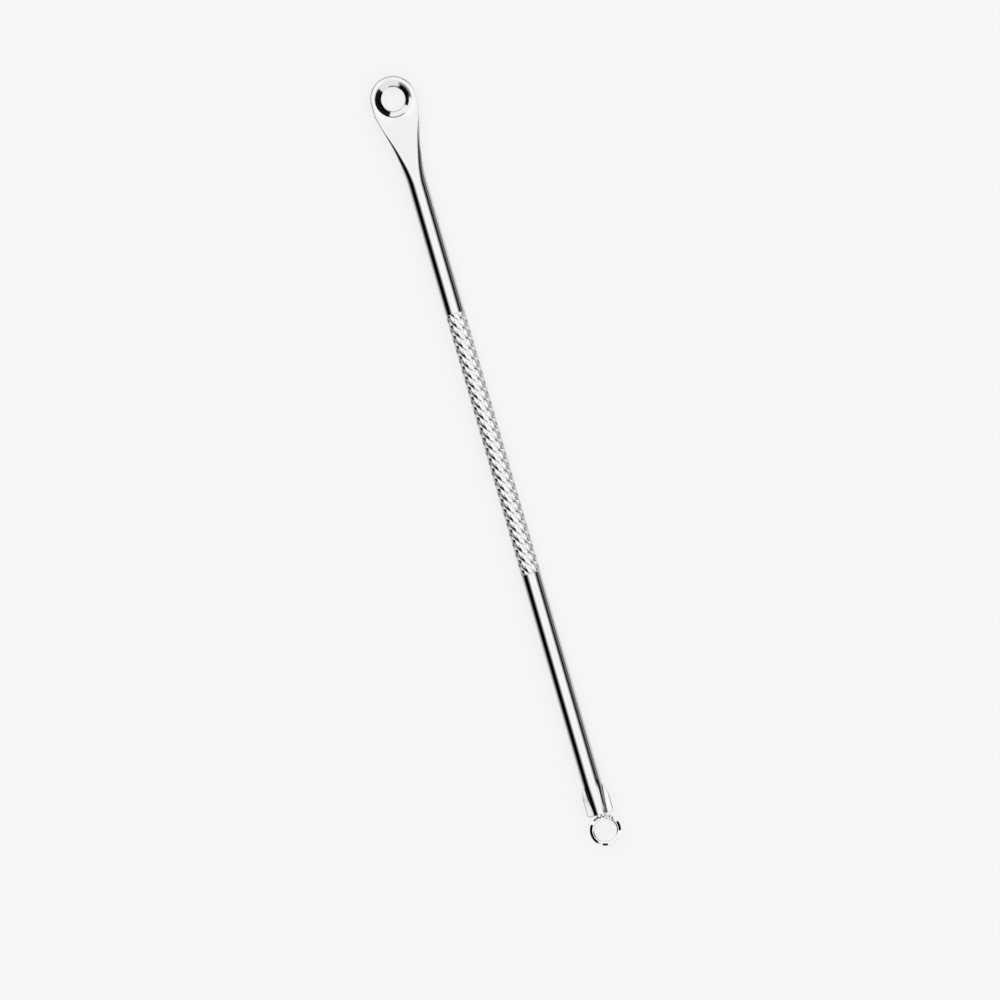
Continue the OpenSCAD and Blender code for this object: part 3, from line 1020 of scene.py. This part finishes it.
def pale_floor(colours, studio):
    """A floor with a soft shadow that shows its pale colour evenly to the camera, and to the metal as a
    glowing pool of light painted close by the tool.
    """
    material = bpy.data.materials.new("pale_floor")
    material.use_nodes = True
    sheet = NodeSheet(material.node_tree)
    place = sheet.add("ShaderNodeTexCoord").outputs["Object"]
    parts = sheet.add("ShaderNodeSeparateXYZ", Vector=place).outputs
    across = parts["Y"]
    on_left = sheet.largest(sheet.math("DIVIDE", across, studio.left_pool), 0.0)
    on_right = sheet.largest(sheet.math("DIVIDE", across, -studio.right_pool), 0.0)
    fall = sheet.math("POWER", sheet.math("ADD", on_left, on_right), PAINTED_POOL_POWER)
    pool = sheet.math("DIVIDE", 1.0, sheet.math("ADD", 1.0, fall))

    # By the loop the painted pool of light is cut to a narrow strip, which paints darker reflections into
    # the wire loop.
    beside_loop = sheet.product(
        sheet.ramp(across, LOOP_LEFT_FADE, 1.0, LOOP_LEFT_SHARE),
        sheet.ramp(across, LOOP_RIGHT_FADE, LOOP_RIGHT_SHARE, 1.0),
    )
    past_mouth = sheet.ramp(parts["X"], LOOP_REACH, 1.0, 0.0)
    painted_dark_by_loop = sheet.product(sheet.math("SUBTRACT", beside_loop, 1.0), past_mouth)
    near = sheet.product(pool, sheet.math("ADD", painted_dark_by_loop, 1.0))

    path = sheet.add("ShaderNodeLightPath").outputs
    camera = path["Is Camera Ray"]
    # Reflections in the metal see the floor glow as the painted pool of light. The camera sees the floor
    # evenly bright.
    strength = sheet.largest(camera, near)
    matt = sheet.add("ShaderNodeBsdfDiffuse", Color=(*colours.floor, 1))
    bright = sheet.add("ShaderNodeEmission", Color=(*colours.floor, 1), Strength=strength)
    seen = sheet.largest(camera, path["Is Glossy Ray"], path["Is Transmission Ray"])
    for_shadow = sheet.product(camera, -SHADOW_SHARE)
    mix = sheet.add("ShaderNodeMixShader")
    sheet.feed(mix, "0", sheet.math("ADD", seen, for_shadow))
    sheet.feed(mix, "1", matt.outputs[0])
    sheet.feed(mix, "2", bright.outputs[0])
    sheet.add("ShaderNodeOutputMaterial", Surface=mix.outputs[0])
    return material


def dark_card(name, centre, turns, tilts, distance, material):
    """A curved card round a point, between two turns and two tilts from upright, that only metal shows."""
    first, last = in_radians(*turns)
    out = Vector((math.cos(first), math.sin(first), 0)) * distance
    heights = [distance / math.tan(tilt) for tilt in in_radians(*tilts)]
    bm = bmesh.new()
    edges = chain(bm, [centre + out + Vector((0, 0, height)) for height in heights])
    turned(bm, edges, centre, (0, 0, 1), last - first, CARD_STEPS)
    card = placed_object(bm, name, material)
    card.visible_camera = False
    card.visible_diffuse = False
    card.visible_shadow = False
    card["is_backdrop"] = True


def black_card():
    """Black velvet for the cards."""
    material = bpy.data.materials.new("black_card")
    material.use_nodes = True
    sheet = NodeSheet(material.node_tree)
    velvet = sheet.add("ShaderNodeBsdfDiffuse", Color=(0.002, 0.002, 0.002, 1))
    sheet.add("ShaderNodeOutputMaterial", Surface=velvet.outputs[0])
    return material


class EXTRACTOR_OT_stage(bpy.types.Operator):
    """Set up the floor, the cards, the studio light and the camera"""

    bl_idname = "extractor.stage"
    bl_label = "Stage"

    floor_half = 3.0
    picture_width = 150 * MM
    lens = 180.0
    sensor = 36.0
    roll = math.radians(-16.2)
    tool_middle_px = (498.3, 461.2)
    picture_px = 1000

    def execute(self, context):
        scene = context.scene
        floor_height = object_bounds()[0].z
        bm = bmesh.new()
        bmesh.ops.create_grid(bm, x_segments=1, y_segments=1, size=self.floor_half)
        floor = placed_object(bm, "floor", pale_floor(scene.extractor_finish, scene.extractor_studio))
        floor.location.z = floor_height
        floor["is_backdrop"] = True
        scene.world = studio_world(scene.extractor_finish, scene.extractor_studio)
        self.stand_cards(scene)
        self.aim_camera(scene)
        scene.view_settings.view_transform = "Standard"
        return {"FINISHED"}

    def stand_cards(self, scene):
        """Stands the dark cards round the spoon's eye, the crimp's middle and the loop's middle."""
        places = {
            "spoon": TIP_X - scene.extractor_spoon.eye_radius,
            "crimp": MOUTH_X + scene.extractor_crimp.stretch / 2,
            "loop": LOOP_END_X + scene.extractor_wire.loop_radius,
        }
        velvet = black_card()
        for name, end, first, last, low, high in DARK_CARDS:
            centre = Vector((places[end], 0, AXIS_Z))
            dark_card(name, centre, (first, last), (low, high), CARD_DISTANCES[end], velvet)

    def aim_camera(self, scene):
        """Looks straight down, with the tool's middle at its place in the picture."""
        up = Vector((math.cos(self.roll), math.sin(self.roll), 0))
        right = Vector((math.sin(self.roll), -math.cos(self.roll), 0))
        back = Vector((0, 0, 1))
        pixel = self.picture_width / self.picture_px
        centre = self.picture_px / 2
        middle_x, middle_y = self.tool_middle_px
        aim = right * (centre - middle_x) * pixel + up * (middle_y - centre) * pixel
        aim.z = AXIS_Z
        camera = bpy.data.objects.new("camera", bpy.data.cameras.new("camera"))
        camera.data.lens = self.lens
        camera.data.sensor_width = self.sensor
        camera.data.clip_start = 0.01
        camera.data.clip_end = 20
        stand = Matrix.Translation(aim + back * self.picture_width * self.lens / self.sensor)
        camera.matrix_world = stand @ Matrix((right, up, back)).transposed().to_4x4()
        scene.collection.objects.link(camera)
        scene.camera = camera


class EXTRACTOR_PT_panel(bpy.types.Panel):
    """Lists the pieces, the stage and the sizes"""

    bl_label = "Comedone extractor"
    bl_idname = "EXTRACTOR_PT_panel"
    bl_space_type = "VIEW_3D"
    bl_region_type = "UI"
    bl_category = "Extractor"

    def draw(self, context):
        for operator in OPERATORS:
            self.layout.operator(operator.bl_idname)
        for name in GROUPS:
            box = self.layout.box()
            group = getattr(context.scene, name)
            for key in group.__annotations__:
                box.prop(group, key)


GROUPS = {
    "extractor_grip": GripSizes,
    "extractor_rod": RodSizes,
    "extractor_spoon": SpoonSizes,
    "extractor_crimp": CrimpSizes,
    "extractor_wire": WireSizes,
    "extractor_finish": Finishes,
    "extractor_studio": StudioSizes,
}
OPERATORS = (
    EXTRACTOR_OT_knurled_grip,
    EXTRACTOR_OT_spoon_shank,
    EXTRACTOR_OT_loop_shank,
    EXTRACTOR_OT_wire_loop,
    EXTRACTOR_OT_stage,
)


def register():
    for cls in (*GROUPS.values(), *OPERATORS, EXTRACTOR_PT_panel):
        bpy.utils.register_class(cls)
    for name, group in GROUPS.items():
        setattr(bpy.types.Scene, name, PointerProperty(type=group))


def unregister():
    for name in GROUPS:
        delattr(bpy.types.Scene, name)
    for cls in reversed((*GROUPS.values(), *OPERATORS, EXTRACTOR_PT_panel)):
        bpy.utils.unregister_class(cls)


def main():
    register()
    bpy.ops.extractor.knurled_grip()
    bpy.ops.extractor.spoon_shank()
    bpy.ops.extractor.loop_shank()
    bpy.ops.extractor.wire_loop()
    bpy.ops.extractor.stage()


if __name__ == "__main__":
    main()
